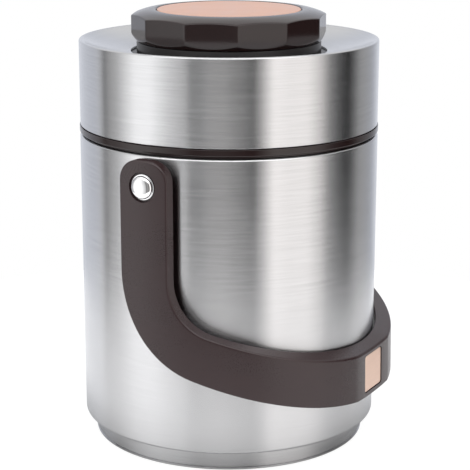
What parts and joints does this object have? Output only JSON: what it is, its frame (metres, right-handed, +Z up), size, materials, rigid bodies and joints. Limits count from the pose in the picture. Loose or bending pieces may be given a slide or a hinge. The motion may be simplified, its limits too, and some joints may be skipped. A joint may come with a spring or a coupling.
{
  "type": "insulated lunch box",
  "caption": "Round double-walled steel lunch box with a swing handle, a deep turn-and-lift lid with a vent knob, and stacked inner bowls with sealed lids.",
  "frame": {"origin": "centre of the flat underside, on the pot's axis", "axes": "+Z up along the pot's axis, -Y towards the side that the lowered handle covers, the handle's pivots on X"},
  "size_m": [0.1616, 0.1476, 0.2027],
  "materials": {
    "brushed_steel": "fine brushing round the axis",
    "liner_steel": "drawn and polished",
    "brown_plastic": "satin moulded, dark brown",
    "black_plastic": "satin moulded, near black",
    "rose_metal": "rose-coloured, fine brushed",
    "chrome": "polished",
    "silicone": "matte, translucent white",
    "foam": "fine-celled foam",
    "bowl_steel": "spun and polished",
    "bowl_lid_plastic": "satin moulded, warm beige",
    "nylon": "natural nylon"
  },
  "bodies": {
    "jar": {"outer_shell": "brushed_steel", "base_cup": "brushed_steel", "vacuum_floor": "liner_steel", "vacuum_plug": "chrome", "vacuum_getter": "liner_steel", "inner_liner": "liner_steel", "neck_ring": "brown_plastic", "pivot_stud_left": "liner_steel", "pivot_stud_right": "liner_steel", "pivot_washer_left": "black_plastic", "pivot_washer_right": "black_plastic", "pivot_cap_left": "chrome", "pivot_cap_right": "chrome"},
    "handle": {"handle": "brown_plastic", "handle_badge": "rose_metal", "pivot_bush_left": "nylon", "pivot_bush_right": "nylon"},
    "lower_bowl": {"lower_bowl": "bowl_steel"},
    "lower_bowl_lid": {"lower_bowl_lid": "bowl_lid_plastic", "lower_bowl_seal": "silicone"},
    "upper_bowl": {"upper_bowl": "bowl_steel"},
    "upper_bowl_lid": {"upper_bowl_lid": "bowl_lid_plastic", "upper_bowl_seal": "silicone"},
    "lid_seal": {"lid_gasket": "silicone"},
    "lid": {"lid_cover": "brushed_steel", "lid_trim_ring": "brown_plastic", "lid_liner": "brown_plastic", "lid_insulation": "foam", "knob_collar": "black_plastic"},
    "vent": {"vent_stem": "nylon", "vent_seal": "silicone"},
    "knob": {"knob": "brown_plastic", "knob_disc": "rose_metal"}
  },
  "joints": [
    {"name": "handle_swing", "type": "hinge", "parent": "jar", "child": "handle", "pos_m": [0, 0, 0.133], "axis": [-1, 0, 0], "range_deg": [0, 277]},
    {"name": "lower_bowl_lift", "type": "slide", "parent": "jar", "child": "lower_bowl", "axis": [0, 0, 1], "range_m": [0, 0.145]},
    {"name": "lower_bowl_lid_lift", "type": "slide", "parent": "lower_bowl", "child": "lower_bowl_lid", "axis": [0, 0, 1], "range_m": [0, 0.03]},
    {"name": "upper_bowl_lift", "type": "slide", "parent": "lower_bowl_lid", "child": "upper_bowl", "axis": [0, 0, 1], "range_m": [0, 0.08]},
    {"name": "upper_bowl_lid_lift", "type": "slide", "parent": "upper_bowl", "child": "upper_bowl_lid", "axis": [0, 0, 1], "range_m": [0, 0.03]},
    {"name": "lid_lift", "type": "slide", "parent": "upper_bowl_lid", "child": "lid_seal", "axis": [0, 0, 1], "range_m": [0, 0.08]},
    {"name": "lid_turn", "type": "hinge", "parent": "lid_seal", "child": "lid", "pos_m": [0, 0, 0.16], "axis": [0, 0, 1], "range_deg": [-45, 0]},
    {"name": "knob_turn", "type": "hinge", "parent": "lid", "child": "knob", "pos_m": [0, 0, 0.19], "axis": [0, 0, 1], "range_deg": [0, 90]},
    {"name": "vent_rise", "type": "slide", "parent": "lid", "child": "vent", "axis": [0, 0, 1], "range_m": [0, 0.00205]}
  ],
  "couplings": [
    {"joint": "vent_rise", "follows": "knob_turn", "m_per_rad": 0.0012732}
  ]
}
